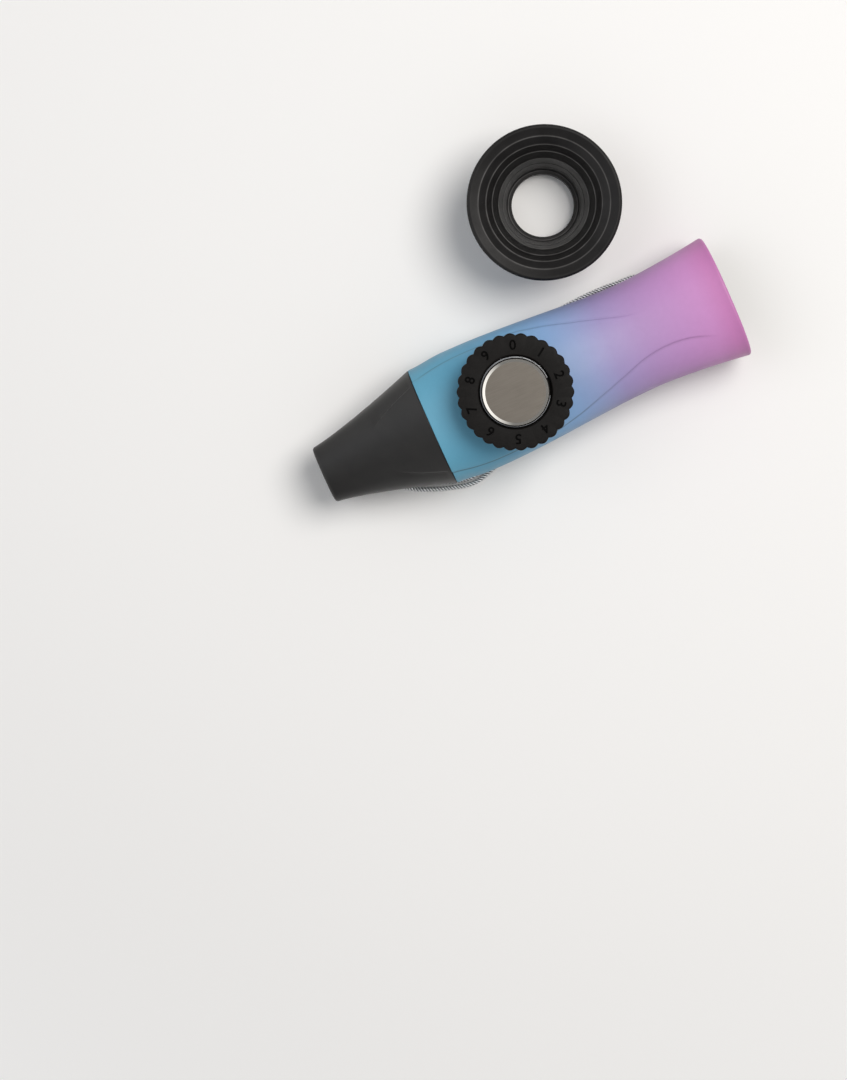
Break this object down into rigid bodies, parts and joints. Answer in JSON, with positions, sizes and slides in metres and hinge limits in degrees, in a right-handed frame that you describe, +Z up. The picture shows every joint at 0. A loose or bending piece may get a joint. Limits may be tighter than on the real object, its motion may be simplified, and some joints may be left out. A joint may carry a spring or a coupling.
{
  "type": "kazoo",
  "caption": "Kazoo with a tapered, flared body, a screw tuning knob with a metal cap, a push-fit silicone horn beside it and a wrist lanyard.",
  "frame": {"origin": "on the flat under the belly, below the knob's axis", "axes": "+X from the mouthpiece to the flared mouth, +Z up through the knob, +Y towards the horn"},
  "size_m": [0.125, 0.0874, 0.039],
  "materials": {
    "body_paint": "satin soft-touch paint, blue to pink along the body",
    "black_abs": "satin moulded ABS",
    "knob_abs": "fine matt moulded ABS",
    "brushed_cap": "brushed face with a bright turned edge",
    "silicone": "matt moulded silicone",
    "rubber": "matt",
    "ring_plastic": "gloss",
    "film": "thin gloss film",
    "spring_steel": "bright",
    "nickel": "nickel plate",
    "cord": "silver-white twisted yarn"
  },
  "bodies": {
    "kazoo": {"body_shell": "body_paint", "mouthpiece": "black_abs", "mouthpiece_seal": "rubber", "gasket": "rubber", "membrane_ring": "ring_plastic", "membrane_film": "film", "lanyard_crimp": "nickel", "lanyard_cord": "cord"},
    "clamp": {"clamp_ring": "black_abs", "knob_retainer": "spring_steel"},
    "knob": {"tuning_knob": "knob_abs"},
    "cap": {"metal_cap": "brushed_cap", "cap_liner": "rubber"},
    "horn": {"horn": "silicone"}
  },
  "joints": [
    {"name": "clamp_rise", "type": "slide", "parent": "kazoo", "child": "clamp", "axis": [0, 0, 1], "range_m": [0, 0.0024]},
    {"name": "knob_turn", "type": "hinge", "parent": "clamp", "child": "knob", "pos_m": [0, 0, 0.0325], "axis": [0, 0, 1], "range_deg": [0, 360]},
    {"name": "cap_lift", "type": "slide", "parent": "clamp", "child": "cap", "axis": [0, 0, 1], "range_m": [0, 0.012]},
    {"name": "horn_lift", "type": "slide", "parent": "kazoo", "child": "horn", "axis": [0, 0, 1], "range_m": [0, 0.05]}
  ],
  "couplings": [
    {"joint": "clamp_rise", "follows": "knob_turn", "m_per_rad": 0.00038197}
  ]
}
